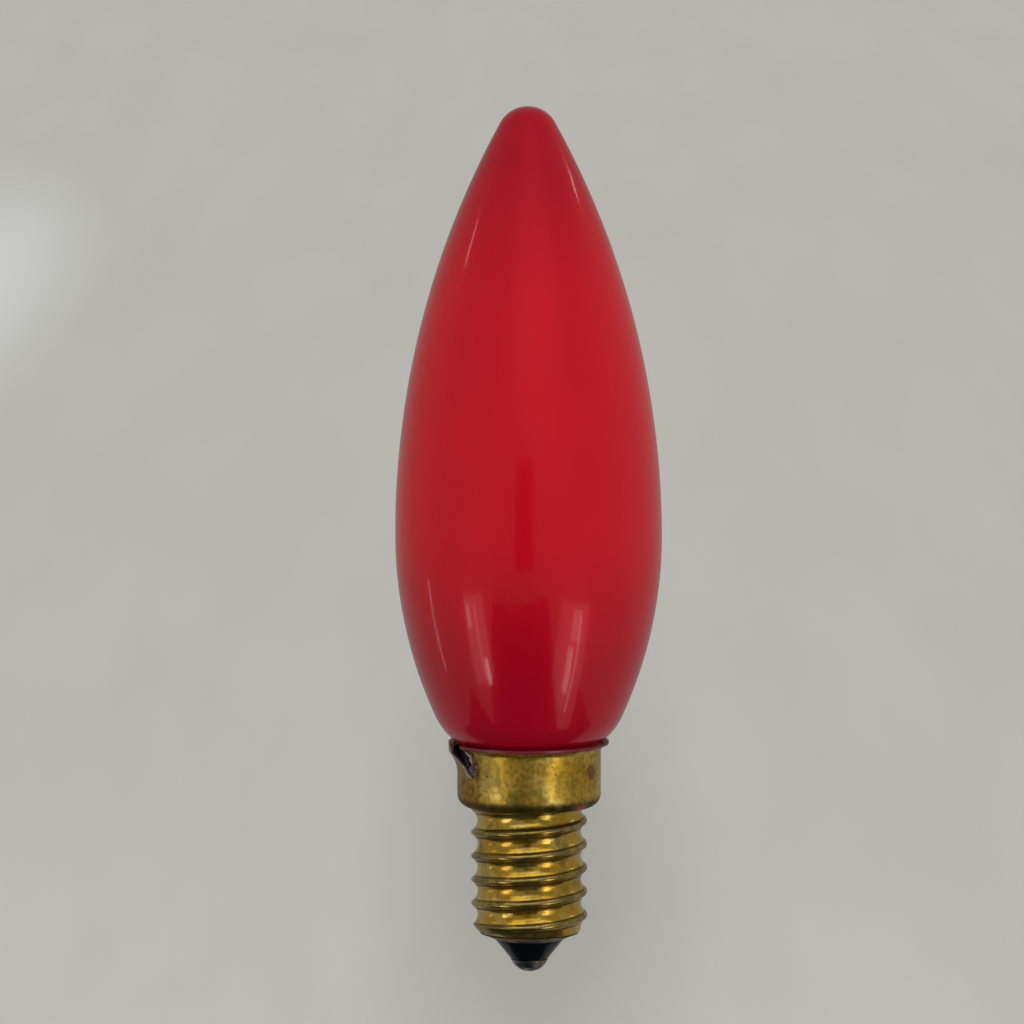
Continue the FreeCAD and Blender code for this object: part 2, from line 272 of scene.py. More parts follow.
def paint(piece: Piece, layer: Layer, rule: Callable[[float, float, float], float]) -> None:
    """Store a mask on a mesh, point by point.

    Args:
        piece: The piece to mask.
        layer: The mask.
        rule: Gives its value from radius, azimuth in degrees and height, in millimetres.
    """
    values = []
    for vertex in piece.data.vertices:
        x, y, z = (c / MM for c in vertex.co)
        values.append(rule(math.hypot(x, y), math.degrees(math.atan2(y, x)) % 360, z))
    mask = piece.data.attributes.new(layer.value, "FLOAT", "POINT")
    mask.data.foreach_set("value", values)


def wobble(radius: float, azimuth: float, height: float, grain: float) -> float:
    """Smooth noise at a place on the lamp.

    Args:
        radius: Distance from the axis, in millimetres.
        azimuth: Direction from the axis, in degrees.
        height: Height of the place, in millimetres.
        grain: Size of the swells, in millimetres.

    Returns:
        A value between -1 and 1.
    """
    angle = math.radians(azimuth)
    place = Vector((radius * math.cos(angle), radius * math.sin(angle), height))
    return noise.noise(place / grain, noise_basis="PERLIN_NEW")


def dress(piece: Piece, material: bpy.types.Material) -> None:
    """Give a piece one material."""
    piece.data.materials.clear()
    piece.data.materials.append(material)


@dataclass(frozen=True)
class Finish:
    """A surface of the lamp. Each kind builds its own node tree."""

    def material(self) -> bpy.types.Material:
        """Build the material.

        Returns:
            The new material, named after the finish.
        """
        made = bpy.data.materials.new(type(self).__name__)
        made.use_nodes = True
        tree = made.node_tree
        tree.nodes.clear()
        shader = put(tree, "ShaderNodeBsdfPrincipled")
        put(tree, "ShaderNodeOutputMaterial", inputs={"Surface": shader.outputs[0]})
        place = put(tree, "ShaderNodeTexCoord").outputs["Object"]
        self.fill(tree, shader, place)
        return made

    def fill(self, tree: Tree, shader: Node, place: Socket) -> None:
        """Set the shader and add its patterns.

        Args:
            tree: The node tree.
            shader: The shader's node.
            place: Place of each point on the lamp.
        """
        raise NotImplementedError


def sized(place: Socket, size: float, detail: float = 2.0) -> dict[str, object]:
    """Inputs of noise whose patches are about this many millimetres across."""
    return {"Vector": place, "Scale": 1 / (size * MM), "Detail": detail}


def span(value: Socket, low: float, high: float, start: float = 0.0,
         finish: float = 1.0) -> dict[str, object]:
    """Inputs that map a value from one range to another, held at both ends."""
    return {"Value": value, "From Min": low, "From Max": high, "To Min": start, "To Max": finish}


@dataclass(frozen=True)
class Cloud:
    """Soft patches of one size, in millimetres, that pass between two levels.

    Noise up to low gives the level start, and noise from high on gives the level finish.
    """

    size: float
    detail: float = 2.0
    low: float = 0.35
    high: float = 0.65
    start: float = 0.0
    finish: float = 1.0


def patches(tree: Tree, place: Socket, cloud: Cloud) -> Socket:
    """Add soft patches.

    Args:
        tree: The node tree.
        place: Place of each point.
        cloud: The patches' size and levels.

    Returns:
        The level at each point.
    """
    clouds = put(tree, "ShaderNodeTexNoise", inputs=sized(place, cloud.size, cloud.detail)).outputs["Fac"]
    levels = span(clouds, cloud.low, cloud.high, cloud.start, cloud.finish)
    return put(tree, "ShaderNodeMapRange", EASED, levels).outputs["Result"]


def ramp(tree: Tree, place: Socket, centre: Place, zero: float, one: float) -> Socket:
    """Add a soft ramp by the distance from a point.

    Args:
        tree: The node tree.
        place: Place of each point.
        centre: The point, in millimetres.
        zero: Distance at which the ramp is 0, in millimetres.
        one: Distance at which it is 1.

    Returns:
        The ramp's value at each point.
    """
    ends = {0: place, 1: [c * MM for c in centre]}
    away = put(tree, "ShaderNodeVectorMath", {"operation": "DISTANCE"}, ends).outputs["Value"]
    return put(tree, "ShaderNodeMapRange", EASED, span(away, zero * MM, one * MM)).outputs["Result"]


def worn(tree: Tree, layer: Layer, share: object = 1.0) -> Socket:
    """Add a mask that is painted on the mesh, lessened by a share: real stains and soot for some masks,
    painted shade for others.

    Args:
        tree: The node tree.
        layer: The mask.
        share: A value or a pattern from 0 to 1.

    Returns:
        The lessened mask at each point.
    """
    painted = put(tree, "ShaderNodeAttribute", {"attribute_name": layer.value}).outputs["Fac"]
    return put(tree, "ShaderNodeMath", Work.TIMES.value, {0: painted, 1: share}).outputs[0]


def coated(tree: Tree, base: object, coats: Sequence[tuple[object, str]]) -> Socket:
    """Lay coats of colour over a base, one after another.

    Args:
        tree: The node tree.
        base: The colour below them.
        coats: How much of each coat shows, and its sRGB hex code.

    Returns:
        The colour that is seen.
    """
    for share, code in coats:
        inputs = {"Factor": share, 6: base, 7: linear(code)}
        base = put(tree, "ShaderNodeMix", {"data_type": "RGBA"}, inputs).outputs[2]
    return base


@dataclass(frozen=True)
class RedLacqueredGlass(Finish):
    """Red lacquer dipped on clear glass and baked.

    The dip leaves an opaque colour with a glossy skin. Its red is painted deeper towards the tip and towards
    the neck as painted shade, with random deeper clouds over all. A faint orange peel and long hazy streaks
    from wiping soften its reflections.
    """

    # The darker red of the painted shade at the tip and neck, and of the random clouds.
    deep: str = "a60620"
    fresh: str = "c40c1e"
    worn: str = "b82a3a"
    clouds: Cloud = Cloud(22.0, low=0.3, high=0.7, finish=0.2)
    specks: Cloud = Cloud(0.35, detail=3.0, low=0.62, high=0.8, finish=0.16)
    haze: Cloud = Cloud(1.3, detail=3.0, start=0.04, finish=0.11)
    haze_squash: float = 0.08
    peel_size: float = 0.9
    peel_depth: float = 0.02
    # Heights over which the painted shade deepens the red, from none to full, at the tip and at the neck.
    shaded_tip: Point = (78.0, 101.0)
    shaded_neck: Point = (55.0, 32.0)

    def fill(self, tree: Tree, shader: Node, place: Socket) -> None:
        """Lay the lacquer with its painted shade at both ends, its specks and its hazy, peeled skin.

        Args:
            tree: The node tree.
            shader: The shader's node.
            place: Place of each point on the lamp.
        """
        height = put(tree, "ShaderNodeSeparateXYZ", inputs={"Vector": place}).outputs["Z"]
        # Painted shade: the red deepens towards the tip and towards the neck; random clouds of deeper red are
        # added to it.
        tip, neck = (
            put(tree, "ShaderNodeMapRange", EASED, span(height, lighter * MM, deeper * MM)).outputs["Result"]
            for lighter, deeper in (self.shaded_tip, self.shaded_neck)
        )
        ends = put(tree, "ShaderNodeMath", Work.LARGER.value, {0: tip, 1: neck}).outputs[0]
        clouds = patches(tree, place, self.clouds)
        deeper = put(tree, "ShaderNodeMath", Work.ADD.value, {0: ends, 1: clouds}).outputs[0]
        specks = patches(tree, place, self.specks)
        drawn_out = {"Vector": place, "Scale": (1.0, 1.0, self.haze_squash)}
        long = put(tree, "ShaderNodeMapping", inputs=drawn_out).outputs[0]
        peel = put(tree, "ShaderNodeTexNoise", inputs=sized(place, self.peel_size, 1.0)).outputs["Fac"]
        skin = {"Height": peel, "Strength": 0.05, "Distance": self.peel_depth * MM}
        feed(tree, shader, {
            "Base Color": coated(tree, linear(self.fresh), ((deeper, self.deep), (specks, self.worn))),
            "Roughness": 0.3,
            "IOR": 1.5,
            "Metallic": 0.25,
            "Specular IOR Level": 0.1,
            "Coat Weight": 0.5,
            "Coat Roughness": patches(tree, long, self.haze),
            "Coat Normal": put(tree, "ShaderNodeBump", inputs=skin).outputs[0],
        })


@dataclass(frozen=True)
class AgedBrass(Finish):
    """Drawn and rolled brass sheet, handled and warmed for years.

    The bead's nose, its upper edge and its foot, the corner above the shoulder, the lip and the sheet below
    the gap carry painted shade in olive and brown, and the open faces keep a warm gold with pits and
    blotches. The skirt is mottled by fingers and scorched at one side.
    Lacquer from the dip stains the rim. A cover or a haze is a pair, the least and the most of it.
    """

    gold: str = "c89c34"
    pale: str = "d6b65c"
    # Olive of the painted shade under each bead, in the corner above the shoulder and on the lip.
    olive: str = "423c1e"
    # Brown of the real freckles, and of the painted shade on the fold below the gap.
    brown: str = "7a5420"
    # Dull olive of the painted reflection of the dark room on the bead's nose.
    bead: str = "807446"
    # Dark line of painted shade along the bead's upper edge.
    edge: str = "46300e"
    tin: str = "b6b6ae"
    tarnish: str = "6e642e"
    lacquer: str = "5a0e1c"
    soot: str = "2a1a18"
    fresh_red: str = "8c2228"
    scorch: str = "6e2f2a"
    dab: Place = (5.75, -5.1, 19.75)
    dab_radius: float = 1.7
    scorched: Place = (7.3, -4.2, 24.4)
    scorch_radius: float = 1.6
    spot_core: float = 0.4
    spot_edge: Point = (0.9, 0.5)
    spot_rag: Cloud = Cloud(0.5, detail=3.0, low=0.3, high=0.7, finish=0.6)
    blotches: Cloud = Cloud(3.2, detail=4.0, low=0.4, high=0.66)
    streaks: Cloud = Cloud(2.0, detail=4.0, low=0.48, high=0.66, finish=0.6)
    streak_squash: float = 0.6
    fine: Cloud = Cloud(0.5, detail=5.0, low=0.42, high=0.7)
    wear: Cloud = Cloud(1.1, detail=3.0)
    finger_marks: Cloud = Cloud(0.5, detail=6.0, low=0.42, high=0.66, finish=0.42)
    pits: Cloud = Cloud(0.32, detail=1.0, low=0.71, high=0.79)
    sooty: Cloud = Cloud(0.6, detail=3.0, low=0.3, high=0.55, start=0.4)
    freckle_share: float = 0.2
    scorch_share: float = 0.7
    edge_shade_share: float = 0.9
    nose_shade_cover: Point = (0.5, 0.95)
    olive_cover: Point = (0.8, 1.0)
    fold_shade_cover: Point = (0.5, 0.9)
    shine: Point = (0.15, 0.4)
    wear_haze: Point = (0.0, 0.08)
    skirt_haze: float = 0.16
    swell_size: float = 1.6
    swell_share: float = 0.8
    dent_share: float = 0.2
    dent_depth: float = 0.05
    metal_share: float = 0.92
    skirt_foot: float = 19.7

    def fill(self, tree: Tree, shader: Node, place: Socket) -> None:
        """Lay the metal's tarnish and painted shade from the widest blotches to the stains on top, and set
        its shine.

        Args:
            tree: The node tree.
            shader: The shader's node.
            place: Place of each point on the lamp.
        """
        drawn_out = {"Vector": place, "Scale": (1.0, 1.0, self.streak_squash)}
        upright = put(tree, "ShaderNodeMapping", inputs=drawn_out).outputs[0]
        blotch = patches(tree, place, self.blotches)
        streaks = patches(tree, upright, self.streaks)
        fine = patches(tree, place, self.fine)
        wear = patches(tree, place, self.wear)
        finger_marks = patches(tree, place, self.finger_marks)
        pits = patches(tree, place, self.pits)
        sooty = patches(tree, place, self.sooty)
        swells = put(tree, "ShaderNodeTexNoise", inputs=sized(place, self.swell_size)).outputs["Fac"]
        height = put(tree, "ShaderNodeSeparateXYZ", inputs={"Vector": place}).outputs["Z"]
        on_skirt = span(height, self.skirt_foot * MM, (self.skirt_foot + 1) * MM)
        skirt = put(tree, "ShaderNodeMapRange", EASED, on_skirt).outputs["Result"]
        nose_shade, dulled, faint, fold_shade = (
            put(tree, "ShaderNodeMapRange", EASED, span(pattern, 0.0, 1.0, *levels)).outputs["Result"]
            for pattern, levels in (
                (wear, self.nose_shade_cover), (wear, self.olive_cover), (wear, self.wear_haze),
                (fine, self.fold_shade_cover),
            )
        )
        scorched = self.spot(tree, place, self.scorched, self.scorch_radius)
        dab = self.spot(tree, place, self.dab, self.dab_radius)
        freckles, mottle, scorched, dents, swells, handled = (
            put(tree, "ShaderNodeMath", Work.TIMES.value, {0: pattern, 1: share}).outputs[0]
            for pattern, share in (
                (fine, self.freckle_share), (skirt, finger_marks), (scorched, self.scorch_share),
                (fine, self.dent_share), (swells, self.swell_share), (skirt, self.skirt_haze),
            )
        )
        # Painted shade: olive at the foot of each bead, in the corner above the shoulder and on the lip.
        shade = worn(tree, Layer.UNDER_SHADE, dulled)
        burn = worn(tree, Layer.BURN, sooty)
        stain = worn(tree, Layer.LACQUER)
        # Painted shade on the bead's nose, along its upper edge, under it with the corner and lip, and on the
        # fold below the gap; the other coats are real blotches, tarnish, scorch, pits, soot, tin, lacquer and
        # paint.
        colour = coated(tree, linear(self.gold), (
            (blotch, self.pale), (freckles, self.brown), (streaks, self.tarnish), (mottle, self.tarnish),
            (scorched, self.scorch), (worn(tree, Layer.NOSE_SHADE, nose_shade), self.bead),
            (worn(tree, Layer.EDGE, self.edge_shade_share), self.edge), (shade, self.olive),
            (worn(tree, Layer.FOLD_SHADE, fold_shade), self.brown), (pits, self.soot), (burn, self.soot),
            (worn(tree, Layer.TIN), self.tin), (stain, self.lacquer), (dab, self.fresh_red),
        ))
        painted = put(tree, "ShaderNodeMath", Work.LARGER.value, {0: stain, 1: dab}).outputs[0]
        dull = put(tree, "ShaderNodeMath", Work.LARGER.value, {0: shade, 1: burn}).outputs[0]
        rough = put(tree, "ShaderNodeMapRange", EASED, span(dull, 0.0, 1.0, *self.shine)).outputs["Result"]
        for more in (faint, handled):
            rough = put(tree, "ShaderNodeMath", Work.ADD.value, {0: rough, 1: more}).outputs[0]
        relief = put(tree, "ShaderNodeMath", Work.ADD.value, {0: dents, 1: swells}).outputs[0]
        skin = {"Height": relief, "Strength": 0.5, "Distance": self.dent_depth * MM}
        bare = {0: self.metal_share, 1: painted}
        feed(tree, shader, {
            "Base Color": colour,
            "Metallic": put(tree, "ShaderNodeMath", Work.TAKE.value, bare).outputs[0],
            "Roughness": rough,
            "Normal": put(tree, "ShaderNodeBump", inputs=skin).outputs[0],
        })

    def spot(self, tree: Tree, place: Socket, centre: Place, radius: float) -> Socket:
        """Add a ragged spot.

        Args:
            tree: The node tree.
            place: Place of each point on the lamp.
            centre: The spot's centre, in millimetres.
            radius: Its radius, in millimetres.

        Returns:
            One in the spot and zero beside it.
        """
        fade = ramp(tree, place, centre, self.spot_core, radius)
        rag = patches(tree, place, self.spot_rag)
        ragged = put(tree, "ShaderNodeMath", Work.ADD.value, {0: fade, 1: rag}).outputs[0]
        return put(tree, "ShaderNodeMapRange", EASED, span(ragged, *self.spot_edge)).outputs["Result"]


@dataclass(frozen=True)
class BlackGlass(Finish):
    """Pressed black glass: smooth and glossy, with fine dust from the holder."""

    glass: str = "090b10"
    dust: str = "3a3a38"
    dusty: Cloud = Cloud(0.6, detail=4.0, low=0.55, high=0.85, finish=0.2)
    shine: Point = (0.2, 0.5)

    def fill(self, tree: Tree, shader: Node, place: Socket) -> None:
        """Dust the glass.

        Args:
            tree: The node tree.
            shader: The shader's node.
            place: Place of each point on the lamp.
        """
        dusty = patches(tree, place, self.dusty)
        dull = span(dusty, 0.0, self.dusty.finish, *self.shine)
        feed(tree, shader, {
            "Base Color": coated(tree, linear(self.glass), ((dusty, self.dust),)),
            "Roughness": put(tree, "ShaderNodeMapRange", EASED, dull).outputs["Result"],
            "IOR": 1.5,
            "Specular IOR Level": 0.25,
        })


@dataclass(frozen=True)
class Solder(Finish):
    """Tin and lead solder, set from a drop: dull grey, with brown flux burnt on its edge."""

    metal: str = "9ea2a5"
    dark: str = "5a5a5a"
    flux: str = "4a3428"
    shine: Point = (0.3, 0.5)
    darker: Cloud = Cloud(0.7, detail=4.0)
    crust: Cloud = Cloud(0.35, detail=3.0, low=0.3, high=0.6, start=0.5)
    flux_cover: float = 0.8
    skin_size: float = 0.5
    skin_depth: float = 0.06

    def fill(self, tree: Tree, shader: Node, place: Socket) -> None:
        """Lay dark patches and burnt flux on the metal, and wrinkle its skin.

        Args:
            tree: The node tree.
            shader: The shader's node.
            place: Place of each point on the lamp.
        """
        dark = patches(tree, place, self.darker)
        flux = worn(tree, Layer.FLUX, patches(tree, place, self.crust))
        covered = put(tree, "ShaderNodeMath", Work.TIMES.value, {0: flux, 1: self.flux_cover}).outputs[0]
        dull = span(dark, 0.0, 1.0, *self.shine)
        wrinkles = put(tree, "ShaderNodeTexNoise", inputs=sized(place, self.skin_size, 4.0)).outputs["Fac"]
        skin = {"Height": wrinkles, "Strength": 0.6, "Distance": self.skin_depth * MM}
        feed(tree, shader, {
            "Base Color": coated(tree, linear(self.metal), ((dark, self.dark), (flux, self.flux))),
            "Metallic": put(tree, "ShaderNodeMath", Work.TAKE.value, {0: 1.0, 1: covered}).outputs[0],
            "Roughness": put(tree, "ShaderNodeMapRange", EASED, dull).outputs["Result"],
            "Normal": put(tree, "ShaderNodeBump", inputs=skin).outputs[0],
        })


@dataclass(frozen=True)
class BurntSolder(Solder):
    """The same solder where the iron burnt its flux brown."""

    metal: str = "8a7f76"
    dark: str = "4a2a1e"
    flux: str = "3c2016"
    shine: Point = (0.28, 0.48)


@dataclass(frozen=True)
class DrawnWire(Finish):
    """Copper-clad lead wire, drawn bright and dulled by heat."""

    metal: str = "a8765a"
    dull: str = "6a4a3c"
    dulled: Cloud = Cloud(0.8, detail=3.0)
    shine: Point = (0.28, 0.42)

    def fill(self, tree: Tree, shader: Node, place: Socket) -> None:
        """Dull the wire in patches.

        Args:
            tree: The node tree.
            shader: The shader's node.
            place: Place of each point on the lamp.
        """
        dull = patches(tree, place, self.dulled)
        heat = span(dull, 0.0, 1.0, *self.shine)
        feed(tree, shader, {
            "Base Color": coated(tree, linear(self.metal), ((dull, self.dull),)),
            "Metallic": 1.0,
            "Roughness": put(tree, "ShaderNodeMapRange", EASED, heat).outputs["Result"],
        })


@dataclass(frozen=True)
class Cement(Finish):
    """Baked basing cement: a matte, grainy tan filler, burnt dark where the side wire was soldered."""

    body: str = "8c7456"
    dark: str = "4e3428"
    burnt: str = "1c0a0e"
    burn_centre: Place = (-7.2, -4.2, 25.4)
    burn_radius: float = 4.5
    burn_core: float = 3.375
    sand_size: float = 0.3
    sand_depth: float = 0.08
    sand_levels: Point = (0.35, 0.65)

    def fill(self, tree: Tree, shader: Node, place: Socket) -> None:
        """Lay the sandy grain and the burnt patch.

        Args:
            tree: The node tree.
            shader: The shader's node.
            place: Place of each point on the lamp.
        """
        sand = put(tree, "ShaderNodeTexNoise", inputs=sized(place, self.sand_size, 4.0)).outputs["Fac"]
        dark = put(tree, "ShaderNodeMapRange", EASED, span(sand, *self.sand_levels)).outputs["Result"]
        burnt = ramp(tree, place, self.burn_centre, self.burn_radius, self.burn_core)
        skin = {"Height": sand, "Strength": 0.7, "Distance": self.sand_depth * MM}
        feed(tree, shader, {
            "Base Color": coated(tree, linear(self.body), ((dark, self.dark), (burnt, self.burnt))),
            "Roughness": 0.9,
            "Normal": put(tree, "ShaderNodeBump", inputs=skin).outputs[0],
        })


@dataclass(frozen=True)
class PaleFloor(Finish):
    """Matte pale board, rolled on with a faint grain.

    The camera looks along it at a low angle, so its clouds are drawn out to look round in the picture. One
    corner is paler in a window's glare, and the board is greyer where the lamp keeps light from it.
    """

    board: str = "d8d7d2"
    cloud: str = "d5d4cf"
    glare: str = "f0f1f0"
    shade: str = "bab9b4"
    squash: float = 0.08
    clouds: Cloud = Cloud(45.0, detail=4.0)
    glare_centre: Place = (-285.0, 370.0, 0.0)
    glare_radius: float = 75.0
    shade_centre: Place = (5.0, 200.0, 0.0)
    shade_radius: float = 70.0

    def fill(self, tree: Tree, shader: Node, place: Socket) -> None:
        """Lay the clouds, the shade and the glare.

        Args:
            tree: The node tree.
            shader: The shader's node.
            place: Place of each point on the floor.
        """
        drawn_in = {"Vector": place, "Scale": (1.0, self.squash, 1.0)}
        short = put(tree, "ShaderNodeMapping", inputs=drawn_in).outputs[0]
        coats = (
            (patches(tree, short, self.clouds), self.cloud),
            (ramp(tree, short, self.shade_centre, self.shade_radius, 0.0), self.shade),
            (ramp(tree, short, self.glare_centre, self.glare_radius, 0.0), self.glare),
        )
        feed(tree, shader, {
            "Base Color": coated(tree, linear(self.board), coats),
            "Roughness": 0.95,
            "Specular IOR Level": 0.1,
        })


@dataclass(frozen=True)
class MatteCard(Finish):
    """Matte dyed card."""

    card: str = "060606"

    def fill(self, tree: Tree, shader: Node, place: Socket) -> None:
        """Set one dead matte colour, since the card is never seen itself.

        Args:
            tree: The node tree.
            shader: The shader's node.
            place: Place of each point on the card; not used, since the card has no pattern.
        """
        feed(tree, shader, {"Base Color": linear(self.card), "Roughness": 1.0, "Specular IOR Level": 0.0})


@dataclass
class Levels:
    """Heights and radii that the pieces share, read from the frame, in millimetres."""

    rim_top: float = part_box("cap_shell")[1].z / MM
    tip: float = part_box("glass_bulb")[1].z / MM
    stub_end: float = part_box("glass_bulb")[0].z / MM
    glass_radius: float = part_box("glass_bulb")[1].x / MM
    cone_end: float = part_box("cap_insulator")[0].z / MM
    insulator_radius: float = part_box("cap_insulator")[1].x / MM
    insulator_top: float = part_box("cap_insulator")[1].z / MM
    solder_radius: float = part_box("centre_solder")[1].x / MM


@dataclass
class Envelope:
    """The blown glass, from its tip to its neck and exhaust stub inside the cap."""

    levels: Levels
    widest_above_rim: float = 24.48
    tip_round: float = 3.7
    shoulder_round: float = 8.0
    shoulder_lean: float = 52.0
    neck_round: float = 3.2
    neck_drop: float = 2.45
    neck_radius: float = 7.5
    neck_end_drop: float = 5.99
    edge_round: float = 1.2
    stub_radius: float = 1.6
    ripple: float = 0.035
    ripple_grain: float = 9.0
    still_neck: float = 1.3
    steps: int = 192
    tip_steps: int = 18
    flank_steps: int = 72
    belly_steps: int = 40
    neck_steps: int = 8
    end_steps: int = 6

    def side_arc(self, centre: Point, small: float) -> tuple[float, float]:
        """Find the arc that is upright at the widest point and runs into a smaller circle.

        Args:
            centre: Centre of the smaller circle.
            small: Its radius.

        Returns:
            The arc's radius and the angle, in degrees, at which the two meet.
        """
        across = self.levels.glass_radius - centre[0]
        up = centre[1] - self.widest()
        large = (across * across + up * up - small * small) / ((across - small) * 2)
        return large, math.degrees(math.atan2(up, large - across))

    def widest(self) -> float:
        """Height of the widest point."""
        return self.levels.rim_top + self.widest_above_rim

    def outline(self) -> list[Point]:
        """Draw the outline from the tip down to the end of the exhaust stub.

        Returns:
            Radius and height of each point, in millimetres.
        """
        tip_centre = (0.0, self.levels.tip - self.tip_round)
        flank, tip_angle = self.side_arc(tip_centre, self.tip_round)
        lean = math.radians(self.shoulder_lean)
        reach = self.neck_round + self.shoulder_round
        neck_centre = (self.neck_radius + self.neck_round, self.levels.rim_top - self.neck_drop)
        shoulder_centre = (neck_centre[0] - reach * math.cos(lean), neck_centre[1] + reach * math.sin(lean))
        belly, belly_angle = self.side_arc(shoulder_centre, self.shoulder_round)
        radius = self.levels.glass_radius
        neck_end = self.levels.rim_top - self.neck_end_drop
        edge_centre = (self.neck_radius - self.edge_round, neck_end + self.edge_round)
        stub_centre = (0.0, self.levels.stub_end + self.stub_radius)
        points = arc(tip_centre, self.tip_round, 90, tip_angle, self.tip_steps)
        points += arc((radius - flank, self.widest()), flank, tip_angle, 0, self.flank_steps)[1:]
        points += arc((radius - belly, self.widest()), belly, 0, belly_angle, self.belly_steps)[1:]
        bend = arc(shoulder_centre, self.shoulder_round, belly_angle, -self.shoulder_lean, self.neck_steps)
        points += bend[1:]
        points += arc(neck_centre, self.neck_round, 180 - self.shoulder_lean, 180, self.neck_steps)[1:]
        points += arc(edge_centre, self.edge_round, 0, -90, self.end_steps)
        points += [(self.stub_radius, neck_end)]
        points += arc(stub_centre, self.stub_radius, 0, -90, self.end_steps)
        return points

    def build(self) -> Piece:
        """Turn the glass, let its wall wander a little as blown glass does, and dress it.

        Returns:
            The piece.
        """
        glass = lathe("lacquered_envelope", self.outline(), self.steps)
        move_points(glass, self.wander)
        dress(glass, RedLacqueredGlass().material())
        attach(glass, "root")
        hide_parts("glass_bulb")
        return glass

    def wander(self, radius: float, azimuth: float, height: float) -> Point:
        """Uneven radius of blown glass, none at the tip and in the neck."""
        hold = smooth(radius, self.neck_radius, self.neck_radius * self.still_neck)
        return radius + self.ripple * hold * wobble(radius, azimuth, height, self.ripple_grain), height


